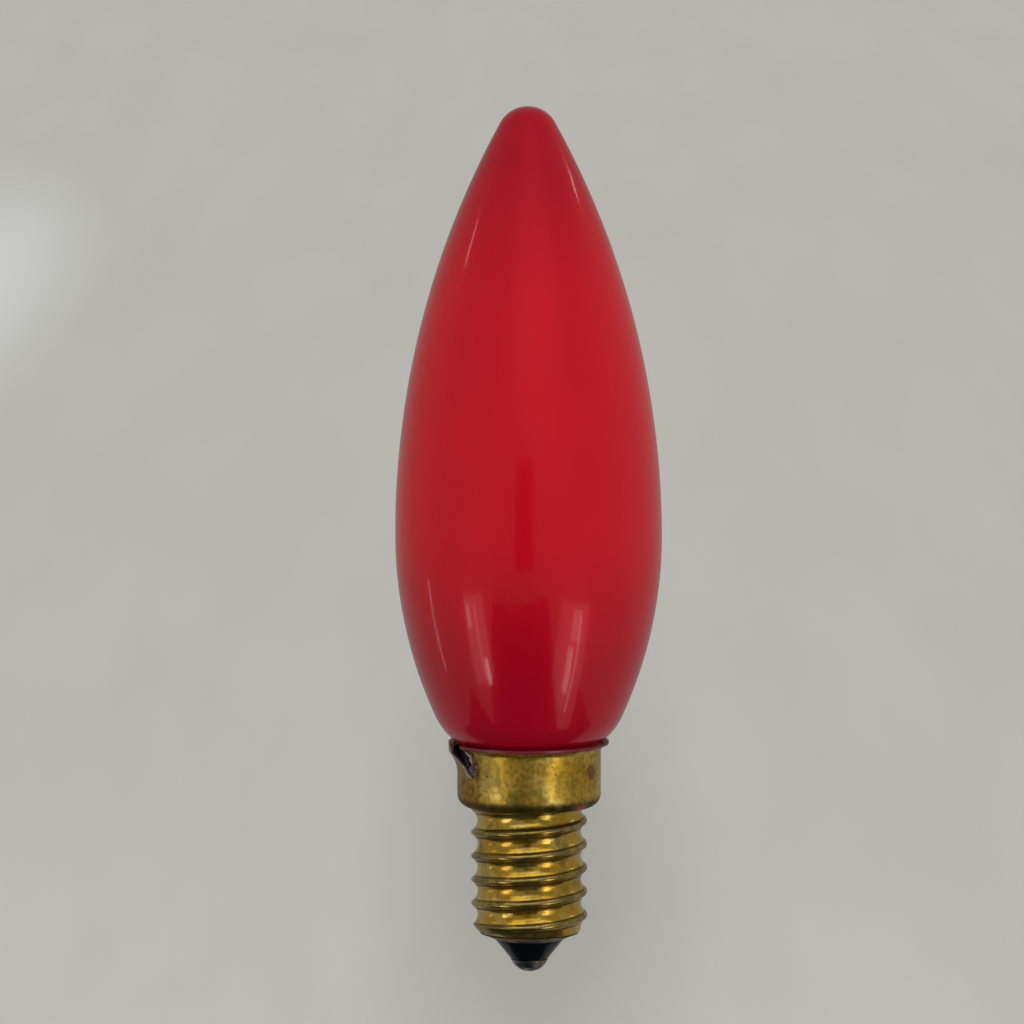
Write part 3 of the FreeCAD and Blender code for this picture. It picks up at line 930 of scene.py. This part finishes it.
@dataclass
class Shell:
    """The brass shell: flared rim, skirt, shoulder, rolled thread and turned-in lip.

    Its masks lie at places on the thread, in turns past a crest, or at heights. A fade is a pair of
    distances, the first where its mask is 0 and the second where it is 1.
    """

    levels: Levels
    sheet: float = 0.3
    skirt_radius: float = 8.5
    skirt_height: float = 6.54
    skirt_round: float = 1.6
    flare_round: float = 0.95
    threaded_length: float = 15.83
    root_radius: float = 6.125
    crest_depth: float = 0.75
    pitch: float = 2.822
    crest_round: float = 0.35
    flank: float = 56.0
    valley_place: float = 0.53
    first_crest: float = 6.76
    fade_start: float = 4.75
    fade_length: float = 1.3
    lip_round: float = 1.1
    lip_slope: float = 24.0
    lip_hole: float = 4.07
    outer_step: float = 0.08
    inner_step: float = 0.24
    steps: int = 240
    round_steps: int = 10
    skirt_steps: int = 20
    shoulder_steps: int = 5
    lip_steps: int = 8
    touch: float = 0.01
    wall_waver: float = 0.03
    wall_grain: float = 3.0
    wall_hold: float = 0.6
    gap_azimuth: float = 213.0
    gap_depth: float = 3.85
    gap_above: float = 1.0
    gap_mouth: Point = (-0.5, -3.9)
    gap_right: tuple[Point, ...] = (
        (0.7, 0.0), (1.3, 0.5), (1.2, 1.1), (0.5, 1.35), (0.75, 1.7), (0.25, 2.1), (0.3, 2.5), (-0.3, 3.0),
    )
    gap_left: tuple[Point, ...] = (
        (-3.4, 3.3), (-2.9, 2.7), (-2.2, 2.2), (-1.5, 1.5), (-0.9, 1.3), (-0.3, 0.6), (0.3, 0.3),
    )
    block_near: float = 5.0
    block_depth: float = 7.0
    prise_bend: float = 0.16
    prise_depth: float = 2.4
    prise_limit: float = 0.07
    prise_left: Point = (150, 182)
    prise_right: Point = (218, 196)
    crease_beside: float = 8.0
    crease_depth: float = 0.12
    crease_width: float = 3.5
    crease_fade: Point = (0.6, 2)
    tin_start: int = 3
    tin_fade: Point = (0.34, 0.1)
    nose_place: float = 0.02
    nose_fade: Point = (0.19, 0.11)
    edge_place: float = 0.17
    edge_fade: Point = (0.04, 0.015)
    thread_foot: Point = (-0.4, 0.6)
    thread_top: Point = (0.0, -0.2)
    foot_place: float = 0.81
    foot_fade: Point = (0.06, 0.02)
    corner_top: Point = (1.7, 0.8)
    corner_foot: Point = (-0.1, 0.0)
    lip_fade: Point = (1.3, 0.3)
    dip_reach: float = 0.52
    dip_waver: float = 0.22
    dip_grain: float = 1.6
    dip_fade: Point = (-0.08, 0.08)
    burn_drop: float = 1.6
    burn_lean: float = 0.5
    burn_aside: float = 0.2
    burn_width: float = 1.4
    burn_height: float = 2.3
    burn_fade: Point = (1.15, 0.75)
    burn_share: float = 0.7
    fold_right: Point = (16, 12)
    fold_left: Point = (-40, -20)
    fold_foot: Point = (0.0, 0.8)
    flare_start: float = field(init=False)
    shoulder: float = field(init=False)
    lip_edge: float = field(init=False)
    lip_centre: Point = field(init=False)
    valley_round: float = field(init=False)

    def __post_init__(self) -> None:
        """Work out the heights of the turned form and the round of the thread's valleys."""
        slope = math.radians(self.lip_slope)
        self.flare_start = self.levels.rim_top - self.flare_round - self.sheet
        self.shoulder = self.flare_start - self.skirt_height
        self.lip_edge = self.shoulder - self.threaded_length
        reach = self.root_radius - self.lip_round + self.lip_round * math.sin(slope) - self.lip_hole
        self.lip_centre = (
            self.root_radius - self.lip_round,
            self.lip_edge + reach * math.tan(slope) + self.lip_round * math.cos(slope),
        )
        flank = math.radians(self.flank)
        both_rounds = (self.pitch / 2 * math.tan(flank) - self.crest_depth) / (1 / math.cos(flank) - 1)
        self.valley_round = both_rounds - self.crest_round

    def outline(self) -> list[Point]:
        """Draw the sheet: down its outer face, round the lip's edge and up its inner face.

        Returns:
            Radius and height of each point of the closed outline.
        """
        outer = self.face(0.0, self.outer_step)
        inner = self.face(self.sheet, self.inner_step)
        return outer + inner[::-1] + outer[:1]

    def face(self, inset: float, step: float) -> list[Point]:
        """One face of the sheet from the rim down to the hole in the lip.

        Args:
            inset: Distance of the face from the outer one.
            step: Distance between points along the threaded barrel.

        Returns:
            The points in order.
        """
        rim = (self.skirt_radius + self.flare_round, self.flare_start)
        skirt = self.skirt_radius - inset
        corner = (self.skirt_radius - self.skirt_round, self.shoulder + self.skirt_round)
        barrel = self.root_radius - inset
        slope = math.radians(self.lip_slope)
        top = self.shoulder + inset
        points = arc(rim, self.flare_round + inset, 90, 180, self.round_steps)
        points += run((skirt, self.flare_start), (skirt, corner[1]), self.skirt_steps)[1:]
        points += arc(corner, self.skirt_round - inset, 0, -90, self.round_steps)[1:]
        points += run((corner[0], top), (barrel, top), self.shoulder_steps)[1:]
        length = top - self.lip_centre[1]
        points += run((barrel, top), (barrel, self.lip_centre[1]), round(length / step))[1:]
        points += arc(self.lip_centre, self.lip_round - inset, 0, self.lip_slope - 90, self.lip_steps)[1:]
        points += [(self.lip_hole, self.lip_edge + inset / math.cos(slope))]
        return points

    def wave(self, offset: float) -> float:
        """Height of the thread's section above its root.

        Args:
            offset: Distance along the axis from the nearest crest.

        Returns:
            The height, made of a round crest, a straight flank and a round valley.
        """
        flank = math.radians(self.flank)
        valley = self.pitch / 2 - offset
        if offset < self.crest_round * math.sin(flank):
            return self.crest_depth - self.crest_round + math.sqrt(self.crest_round ** 2 - offset ** 2)
        if valley < self.valley_round * math.sin(flank):
            return self.valley_round - math.sqrt(self.valley_round ** 2 - valley ** 2)
        start = self.crest_depth - self.crest_round * (1 - math.cos(flank))
        return start - (offset - self.crest_round * math.sin(flank)) * math.tan(flank)

    def turns_past_crest(self, azimuth: float, height: float) -> float:
        """Turns of the thread between a place and the crest below it, from 0 to 1."""
        return ((height - self.first_crest) / self.pitch - azimuth / 360) % 1

    def rolled(self, azimuth: float, height: float) -> float:
        """Work out how far the rolls push the sheet out at a place on the barrel.

        Args:
            azimuth: Direction of the place from the axis, in degrees.
            height: Height of the place.

        Returns:
            The push, less where the thread fades into the lip.
        """
        turns = self.turns_past_crest(azimuth, height)
        low = self.valley_place
        offset = self.pitch / 2 * (turns / low if turns < low else (1 - turns) / (1 - low))
        room = max(height - self.fade_start, 0.0) / self.fade_length
        return min(self.wave(offset), room * self.crest_depth)

    def shaped(self, radius: float, azimuth: float, height: float) -> Point:
        """Place a point of the turned form after rolling and after the wear at its rim.

        Args:
            radius: Distance of the point from the axis.
            azimuth: Its direction from the axis, in degrees.
            height: Its height.

        Returns:
            The point's new radius and height.
        """
        inset = self.sheet if radius < self.root_radius - self.sheet / 2 else 0.0
        corner = self.skirt_radius - self.skirt_round
        push = self.rolled(azimuth, min(height, self.shoulder + inset))
        for face_inset in (0.0, self.sheet):
            barrel = self.root_radius - face_inset
            level = abs(height - self.shoulder - face_inset) < self.touch
            if level and radius < corner + self.touch:
                share = (corner - barrel - push) / (corner - barrel)
                return barrel + push + (radius - barrel) * share, height
        if height < self.shoulder + self.sheet and radius < self.root_radius + self.touch:
            hold = smooth(radius, self.root_radius - self.lip_round, self.root_radius - self.sheet)
            return radius + push * hold, height
        inner = self.skirt_radius - self.sheet
        hold = smooth(radius, inner - self.wall_hold, inner)
        return radius + self.bent(azimuth, height) * hold, height

    def bent(self, azimuth: float, height: float) -> float:
        """Work out where the iron prised the rim open, and the crease that runs down from it.

        Args:
            azimuth: Direction of the place from the axis, in degrees.
            height: Height of the place.

        Returns:
            How far the sheet stands out from its turned form.
        """
        up = height - self.flare_start
        flared = self.flare_round - math.sqrt(max(self.flare_round ** 2 - max(up, 0.0) ** 2, 0.0))
        opened = self.prise_bend * max(up + self.prise_depth, 0.0) ** 2
        opened = min(opened, self.flare_round + self.prise_limit)
        beside = smooth(azimuth, *self.prise_left) * smooth(azimuth, *self.prise_right)
        crease = turn_between(azimuth, self.gap_azimuth + self.crease_beside) / self.crease_width
        dent = -self.crease_depth * math.exp(-crease ** 2) * past(height, self.shoulder, self.crease_fade)
        waver = self.wall_waver * wobble(self.skirt_radius, azimuth, height, self.wall_grain)
        return max(opened - flared, 0.0) * beside + dent + waver

    def build(self) -> Piece:
        """Turn the shell, roll its thread, open the gap in its rim and dress it.

        Returns:
            The piece.
        """
        shell = lathe("rolled_shell", self.outline(), self.steps)
        move_points(shell, self.shaped)
        # The nose, edge, underside and fold masks carry painted shade; the lacquer, burn and tin masks are
        # real.
        paint(shell, Layer.NOSE_SHADE, self.nose_shade_mask)
        paint(shell, Layer.EDGE, self.edge_shade_mask)
        paint(shell, Layer.UNDER_SHADE, self.under_shade_mask)
        paint(shell, Layer.LACQUER, self.lacquer_mask)
        paint(shell, Layer.BURN, self.burn_mask)
        paint(shell, Layer.FOLD_SHADE, self.fold_shade_mask)
        self.open_gap(shell)
        paint(shell, Layer.TIN, self.tin_mask)
        dress(shell, AgedBrass().material())
        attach(shell, "root")
        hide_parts("cap_shell")
        return shell

    def open_gap(self, shell: Piece) -> None:
        """Cut the ragged, leaning gap through the rim with a block of its outline.

        Args:
            shell: The shell's piece.
        """
        above = self.levels.rim_top + self.gap_above
        edge = self.gap_side(self.gap_right) + [(across, above) for across in self.gap_mouth]
        edge += self.gap_side(self.gap_left)
        places = [Vector((self.block_near * MM, across * MM, up * MM)) for across, up in edge]
        block = draw(places + places[:1])
        bpy.ops.mesh.remove_doubles(threshold=WELD)
        bpy.ops.mesh.edge_face_add()
        bpy.ops.mesh.extrude_region_move(TRANSFORM_OT_translate={"value": (self.block_depth * MM, 0, 0)})
        bpy.ops.mesh.select_all(action="SELECT")
        bpy.ops.mesh.normals_make_consistent(inside=False)
        bpy.ops.object.mode_set(mode="OBJECT")
        block.rotation_euler = Euler((0, 0, math.radians(self.gap_azimuth)))
        bpy.ops.object.transform_apply(location=False, rotation=True, scale=False)
        select_only(shell)
        cut = shell.modifiers.new("gap", "BOOLEAN")
        cut.operation = "DIFFERENCE"
        cut.solver = "EXACT"
        cut.object = block
        bpy.ops.object.modifier_apply(modifier=cut.name)
        bpy.data.objects.remove(block)

    def gap_side(self, side: Sequence[Point]) -> list[Point]:
        """One side of the gap, as distance across and height, from its places above the gap's foot."""
        foot = self.levels.rim_top - self.gap_depth
        return [(across, foot + up) for across, up in side]

    def tin_mask(self, radius: float, azimuth: float, height: float) -> float:
        """Mask the gap's edges, which solder has tinned.

        Args:
            radius: Distance of the place from the axis; not used.
            azimuth: Its direction from the axis, in degrees.
            height: Its height.

        Returns:
            One along the edges, and zero from a third of a millimetre on.
        """
        place = Vector((self.beside_gap(azimuth), height))
        distances = []
        for side in (self.gap_side(self.gap_left), self.gap_side(self.gap_right[self.tin_start:])):
            for here, there in zip(side, side[1:]):
                start, way = Vector(here), Vector(there) - Vector(here)
                share = min(max((place - start).dot(way) / way.length_squared, 0.0), 1.0)
                distances.append((place - start - way * share).length)
        return smooth(min(distances), *self.tin_fade)

    def beside_gap(self, azimuth: float) -> float:
        """Distance along the skirt from the middle of the gap."""
        return math.radians(turn_between(azimuth, self.gap_azimuth)) * self.skirt_radius

    def nose_shade_mask(self, radius: float, azimuth: float, height: float) -> float:
        """One on the nose of the thread's bead, painted dull olive as a painted reflection of the dark room
        in front.
        """
        away = abs((self.turns_past_crest(azimuth, height) + 0.5) % 1 - 0.5 - self.nose_place)
        return smooth(away, *self.nose_fade) * self.on_thread(height)

    def edge_shade_mask(self, radius: float, azimuth: float, height: float) -> float:
        """One on a narrow line along the bead's upper edge, painted dark as shade in the crease."""
        away = abs(self.turns_past_crest(azimuth, height) - self.edge_place)
        return smooth(away, *self.edge_fade) * self.on_thread(height)

    def on_thread(self, height: float) -> float:
        """One on the threaded barrel, fading out at its ends."""
        return past(height, self.fade_start, self.thread_foot) * past(height, self.shoulder, self.thread_top)

    def under_shade_mask(self, radius: float, azimuth: float, height: float) -> float:
        """Mask the painted shade at the foot of each bead, in the corner above the shoulder and on the lip.

        Args:
            radius: Distance of the place from the axis; not used.
            azimuth: Its direction from the axis, in degrees.
            height: Its height.

        Returns:
            One where the brass is painted olive as shade, and zero elsewhere.
        """
        away = abs(self.turns_past_crest(azimuth, height) - self.foot_place)
        below = smooth(away, *self.foot_fade) * self.on_thread(height)
        corner = past(height, self.shoulder, self.corner_top) * past(height, self.shoulder, self.corner_foot)
        return max(below, corner, past(height, self.lip_edge, self.lip_fade))

    def lacquer_mask(self, radius: float, azimuth: float, height: float) -> float:
        """One along the rim, where the dip reached it."""
        waver = self.dip_waver * wobble(radius, azimuth, height, self.dip_grain)
        return past(height, self.levels.rim_top - self.dip_reach + waver, self.dip_fade)

    def burn_mask(self, radius: float, azimuth: float, height: float) -> float:
        """Mask the soot round the gap, which fades within a millimetre or two.

        Args:
            radius: Distance of the place from the axis; not used.
            azimuth: Its direction from the axis, in degrees.
            height: Its height.

        Returns:
            The soot's share next to the gap, and zero away from it.
        """
        up = height - (self.levels.rim_top - self.burn_drop)
        across = self.beside_gap(azimuth) + up * self.burn_lean - self.burn_aside
        away = math.hypot(across / self.burn_width, up / self.burn_height)
        return self.burn_share * smooth(away, *self.burn_fade)

    def fold_shade_mask(self, radius: float, azimuth: float, height: float) -> float:
        """Mask the painted shade on the sheet below the gap and left of the crease.

        Args:
            radius: Distance of the place from the axis; not used.
            azimuth: Its direction from the axis, in degrees.
            height: Its height.

        Returns:
            One on the shaded sheet, and zero elsewhere.
        """
        beside = turn_between(azimuth, self.gap_azimuth)
        width = smooth(beside, *self.fold_right) * smooth(beside, *self.fold_left)
        return width * past(height, self.shoulder, self.fold_foot)


@dataclass
class Contact:
    """The insulator's cone and the drop of solder on the centre contact."""

    levels: Levels
    shell: Shell
    edge_round: float = 0.12
    tube_radius: float = 0.75
    seat_radius: float = 1.6
    seat_drop: float = 1.9
    overlap: float = 0.02
    solder_height: float = 1.48
    lump: float = 0.05
    lump_grain: float = 0.9
    still_apex: Point = (0.3, 1.0)
    flux_azimuth: float = 300.0
    flux_start: Point = (-25, 10)
    flux_end: Point = (80, 50)
    cone_steps: int = 128
    slope_steps: int = 10
    seat_steps: int = 8
    drop_steps: int = 96
    dome_steps: int = 24

    def insulator(self) -> Piece:
        """Turn the black glass insulator, with its rounded lower edge.

        Returns:
            The piece.
        """
        shell = self.shell
        inner_round = shell.lip_round - shell.sheet
        bottom = self.levels.cone_end
        radius = self.levels.insulator_radius
        end_radius = self.levels.solder_radius + self.overlap
        edge = (end_radius, bottom + self.edge_round)
        points = [(self.tube_radius, bottom), (end_radius - self.edge_round, bottom), edge]
        points += run(edge, (shell.lip_hole, shell.lip_edge), self.slope_steps)[1:]
        points += [(shell.lip_hole, shell.lip_edge + shell.sheet / math.cos(math.radians(shell.lip_slope)))]
        points += arc(shell.lip_centre, inner_round, shell.lip_slope - 90, 0, self.seat_steps)
        points += [(radius, self.levels.insulator_top - self.seat_drop)]
        points += [(self.seat_radius, self.levels.insulator_top)]
        points += [(self.tube_radius, self.levels.insulator_top), (self.tube_radius, bottom)]
        cone = lathe("pressed_insulator", points, self.cone_steps)
        dress(cone, BlackGlass().material())
        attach(cone, "root")
        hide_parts("cap_insulator")
        return cone

    def solder(self) -> Piece:
        """Set a slightly lumpy drop of solder on the contact.

        Returns:
            The piece.
        """
        height = self.solder_height
        radius = self.levels.solder_radius
        dome = (radius ** 2 + height ** 2) / (2 * height)
        top = math.degrees(math.asin((height - dome) / dome))
        points = arc((0.0, dome), dome, -90, top, self.dome_steps) + [(0.0, height + self.overlap)]
        drop = lathe("solder_drop", points, self.drop_steps)
        move_points(drop, self.lumpy)
        paint(drop, Layer.FLUX, self.flux_mask)
        dress(drop, Solder().material())
        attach(drop, "root")
        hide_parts("centre_solder")
        return drop

    def lumpy(self, radius: float, azimuth: float, height: float) -> Point:
        """Uneven surface of the drop, still at its apex and against the insulator."""
        share = smooth(radius, *self.still_apex)
        return radius + share * self.lump * wobble(radius, azimuth, height, self.lump_grain), height

    def flux_mask(self, radius: float, azimuth: float, height: float) -> float:
        """One on the side of the drop where the flux burnt brown."""
        beside = turn_between(azimuth, self.flux_azimuth)
        return smooth(beside, *self.flux_start) * smooth(beside, *self.flux_end)


@dataclass
class SideJoint:
    """The solder and burnt flux in the gap of the rim."""

    levels: Levels
    azimuth: float = 213.0
    level_below_rim: float = 2.75
    from_axis: float = 8.2
    beside_gap: float = 0.75
    half_thickness: float = 0.34
    half_width: float = 0.8
    half_height: float = 0.95
    swell: float = 0.22
    swell_turns: float = 1.7
    dimple: float = 0.1
    dimple_turns: float = 5.0
    divisions: int = 5
    flux_grain: float = 0.7
    flux_fade: Point = (0.25, 0.05)

    def build(self) -> Piece:
        """Press a lump of solder into the gap, dragged out along the skirt.

        Returns:
            The piece.
        """
        angle = math.radians(self.azimuth)
        out = Vector((math.cos(angle), math.sin(angle), 0))
        along = Vector((-math.sin(angle), math.cos(angle), 0))
        level = Vector((0, 0, self.levels.rim_top - self.level_below_rim))
        middle = out * self.from_axis + along * self.beside_gap + level
        bpy.ops.object.select_all(action="DESELECT")
        bpy.ops.mesh.primitive_ico_sphere_add(subdivisions=self.divisions, radius=MM, location=(0, 0, 0))
        lump = bpy.context.object
        lump.name = lump.data.name = "side_solder_lump"
        for vertex in lump.data.vertices:
            way = vertex.co.normalized()
            size = 1 + self.swell * noise.noise(way * self.swell_turns)
            size += self.dimple * noise.noise(way * self.dimple_turns)
            flat = out * way.x * self.half_thickness + along * way.y * self.half_width
            vertex.co = (middle + (flat + Vector((0, 0, way.z * self.half_height))) * size) * MM
        select_only(lump)
        bpy.ops.object.shade_smooth()
        paint(lump, Layer.FLUX, self.flux_mask)
        dress(lump, BurntSolder().material())
        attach(lump, "root")
        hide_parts("side_solder")
        return lump

    def flux_mask(self, radius: float, azimuth: float, height: float) -> float:
        """Brown everywhere but on two bright spots."""
        return smooth(wobble(radius, azimuth, height, self.flux_grain), *self.flux_fade)


@dataclass
class Studio:
    """Pale floor, soft lights and the camera at the photograph's angle."""

    levels: Levels
    tilt: float = 6.5
    roll: float = 0.13
    pixels_per_mm: float = 8.475
    tip_pixel: Point = (526.5, 107.5)
    contact_pixel: Point = (530.5, 973.5)
    lens: float = 400.0
    sensor: float = 36.0
    floor_drop: float = 0.35
    floor_radius: float = 14.0
    floor_sides: int = 96
    ground: str = "babab5"
    sky: float = 0.6
    key_direction: Point = (8.0, 32.0)
    key_power: float = 2.4
    key_spread: float = 50.0
    near: float = 0.01
    far: float = 100.0

    def build(self) -> None:
        """Set the floor, the lights and the camera."""
        self.backdrop()
        self.lights()
        self.camera()

    def backdrop(self) -> None:
        """Lay a wide pale floor well below the lamp, under an even pale sky."""
        bpy.context.scene.view_settings.view_transform = "Standard"
        world = bpy.data.worlds.new("studio")
        world.use_nodes = True
        bpy.context.scene.world = world
        background = world.node_tree.nodes["Background"]
        background.inputs["Color"].default_value = linear(self.ground)
        background.inputs["Strength"].default_value = self.sky
        bpy.ops.object.select_all(action="DESELECT")
        level = (0, 0, -self.floor_drop)
        bpy.ops.mesh.primitive_circle_add(
            vertices=self.floor_sides, radius=self.floor_radius, fill_type="NGON", location=level
        )
        floor = bpy.context.object
        floor.name = "pale_floor"
        floor.visible_glossy = False
        dress(floor, PaleFloor().material())

    def lights(self) -> None:
        """Hang the soft lights and stand the cards."""
        aim = Vector((0, 0, 0.5 * self.levels.tip * MM))
        bpy.ops.object.light_add(type="SUN", location=aim)
        key = bpy.context.object
        key.name = "overhead_soft"
        key.rotation_euler = direction_from(*self.key_direction).to_track_quat("Z", "Y").to_euler()
        key.data.energy = self.key_power
        key.data.angle = math.radians(self.key_spread)
        key.visible_glossy = False
        for light in SOFT_LIGHTS:
            light.hang(aim)
        for card in DARK_CARDS:
            card.stand(aim)

    def camera(self) -> None:
        """Stand the camera so that the lamp's ends fall where the photograph has them."""
        data = bpy.data.cameras.new("photograph_camera")
        camera = bpy.data.objects.new("photograph_camera", data)
        bpy.context.scene.collection.objects.link(camera)
        bpy.context.scene.camera = camera
        data.lens = self.lens
        data.sensor_width = self.sensor
        tilt = math.radians(self.tilt)
        width = IMAGE_PIXELS / self.pixels_per_mm * MM
        distance = width * self.lens / self.sensor
        back = Vector((0, -math.cos(tilt), math.sin(tilt)))
        up = Vector((0, math.sin(tilt), math.cos(tilt)))
        right = Vector((1, 0, 0))
        middle = [(a + b) / 2 for a, b in zip(self.tip_pixel, self.contact_pixel)]
        aside = (middle[0] - IMAGE_PIXELS / 2) / self.pixels_per_mm * MM
        below = (middle[1] - IMAGE_PIXELS / 2) / self.pixels_per_mm * MM
        target = Vector((0, 0, 0.5 * self.levels.tip * MM)) - right * aside + up * below
        camera.location = target + back * distance
        turn = back.to_track_quat("Z", "Y")
        camera.rotation_mode = "QUATERNION"
        camera.rotation_quaternion = turn @ Euler((0, 0, -math.radians(self.roll))).to_quaternion()
        data.clip_start = self.near
        data.clip_end = self.far


def direction_from(right_of_camera: float, above: float) -> Vector:
    """Turn two angles into a direction from the lamp.

    Args:
        right_of_camera: Degrees to the right of the camera.
        above: Degrees above the horizon.

    Returns:
        The direction, one unit long.
    """
    side = math.radians(right_of_camera)
    rise = math.radians(above)
    return Vector((math.sin(side) * math.cos(rise), -math.cos(side) * math.cos(rise), math.sin(rise)))


@dataclass(frozen=True)
class SoftLight:
    """A rectangular soft light that faces the lamp. Angles in degrees, sizes in metres.

    A flagged light is kept off the glass and the floor, and falls on the metal alone.
    """

    name: str
    right_of_camera: float
    above: float
    distance: float
    width: float
    height: float
    radiance: float
    mirrored: bool = True
    flagged: bool = False

    def hang(self, aim: Vector) -> None:
        """Hang the light and point it at the lamp.

        Args:
            aim: The point that it faces.
        """
        direction = direction_from(self.right_of_camera, self.above)
        bpy.ops.object.light_add(type="AREA", location=aim + direction * self.distance)
        light = bpy.context.object
        light.name = self.name
        light.rotation_euler = direction.to_track_quat("Z", "Y").to_euler()
        light.data.shape = "RECTANGLE"
        light.data.size = self.width
        light.data.size_y = self.height
        light.data.energy = self.radiance * math.pi * self.width * self.height
        light.visible_camera = False
        light.visible_glossy = self.mirrored
        if self.flagged:
            light.light_linking.receiver_collection = bpy.data.collections["metal_parts"]


@dataclass(frozen=True)
class DarkCard:
    """A black or grey card that only the reflections and the bounced light see."""

    name: str
    right_of_camera: float
    above: float
    distance: float
    width: float
    height: float
    card: str = "060606"

    def stand(self, aim: Vector) -> None:
        """Stand the card in its place, square to the lamp.

        Args:
            aim: The point that it faces.
        """
        direction = direction_from(self.right_of_camera, self.above)
        bpy.ops.object.select_all(action="DESELECT")
        bpy.ops.mesh.primitive_plane_add(
            size=1.0,
            location=aim + direction * self.distance,
            rotation=direction.to_track_quat("Z", "Y").to_euler(),
        )
        card = bpy.context.object
        card.name = self.name
        card.scale = (self.width, self.height, 1.0)
        bpy.ops.object.transform_apply(location=True, rotation=True, scale=True)
        card.visible_camera = False
        card.visible_shadow = False
        dress(card, MatteCard(self.card).material())


SOFT_LIGHTS = (
    SoftLight("low_left_window", -51, -29, 0.5, 0.16, 0.20, 0.7),
    SoftLight("low_left_top", -57, -23, 0.49, 0.03, 0.05, 2.2),
    SoftLight("low_left_frame", -50, -30, 0.49, 0.012, 0.17, 1.6),
    SoftLight("low_left_bright", -46, -38, 0.48, 0.03, 0.06, 4.5),
    SoftLight("left_low_strip", -98, -21.5, 0.5, 0.012, 0.15, 3.0),
    SoftLight("low_right_window", 43, -39, 0.5, 0.24, 0.34, 0.5),
    SoftLight("low_right_top", 46, -26, 0.49, 0.07, 0.07, 1.3),
    SoftLight("low_right_frame", 50, -36, 0.49, 0.02, 0.22, 1.5),
    SoftLight("low_right_bright", 43, -38, 0.48, 0.04, 0.10, 3.0),
    SoftLight("left_wall", -110, 15, 1.6, 1.4, 1.6, 1.0, False),
    SoftLight("right_wall", 110, 15, 1.6, 1.4, 1.6, 1.0, False),
    SoftLight("right_strip", 112, 27, 0.6, 0.075, 0.016, 6.0),
    SoftLight("left_strip", -94, 26, 0.6, 0.016, 0.05, 6.0),
    SoftLight("overhead_window", -10, 70, 0.6, 0.8, 0.5, 1.1, flagged=True),
    SoftLight("upper_metal_window", -12, 32, 0.6, 0.7, 0.22, 0.8, flagged=True),
    SoftLight("left_metal_window", -54, -14, 0.5, 0.14, 0.20, 1.4, flagged=True),
    SoftLight("right_metal_window", 38, -14, 0.5, 0.12, 0.20, 2.2, flagged=True),
)
DARK_CARDS = (
    DarkCard("camera_opening", -3.5, -2.8, 0.5, 0.13, 0.17),
    DarkCard("low_front_card", -8, -60, 0.45, 0.48, 0.75),
    DarkCard("low_wide_card", -8, -86, 0.46, 1.0, 0.42),
    DarkCard("front_shade", -12, -9, 0.55, 0.36, 0.24, "b4b4b2"),
)


def dress_hidden_nodes() -> None:
    """Give the CAD pieces that stay shown their finishes."""
    finishes = {
        AgedBrass(): ("contact_eyelet",),
        DrawnWire(): ("centre_lead_wire", "side_lead_wire"),
        Cement(): ("cap_cement",),
    }
    for finish, names in finishes.items():
        material = finish.material()
        for name in names:
            dress(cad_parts[name], material)


def gather_metal() -> None:
    """Put the pieces that the flagged lights fall on into a collection of their own."""
    metal = bpy.data.collections.new("metal_parts")
    for name in ("rolled_shell", "solder_drop", "side_solder_lump"):
        metal.objects.link(bpy.data.objects[name])


def main() -> None:
    """Build the lamp's pieces in order, dress them and set the studio."""
    levels = Levels()
    shell = Shell(levels)
    contact = Contact(levels, shell)
    makers = (Envelope(levels).build, shell.build, contact.insulator, contact.solder, SideJoint(levels).build)
    for make in makers:
        piece = make()
        log.info("%s: %d faces", piece.name, len(piece.data.polygons))
    dress_hidden_nodes()
    gather_metal()
    Studio(levels).build()


if __name__ == "__main__":
    main()
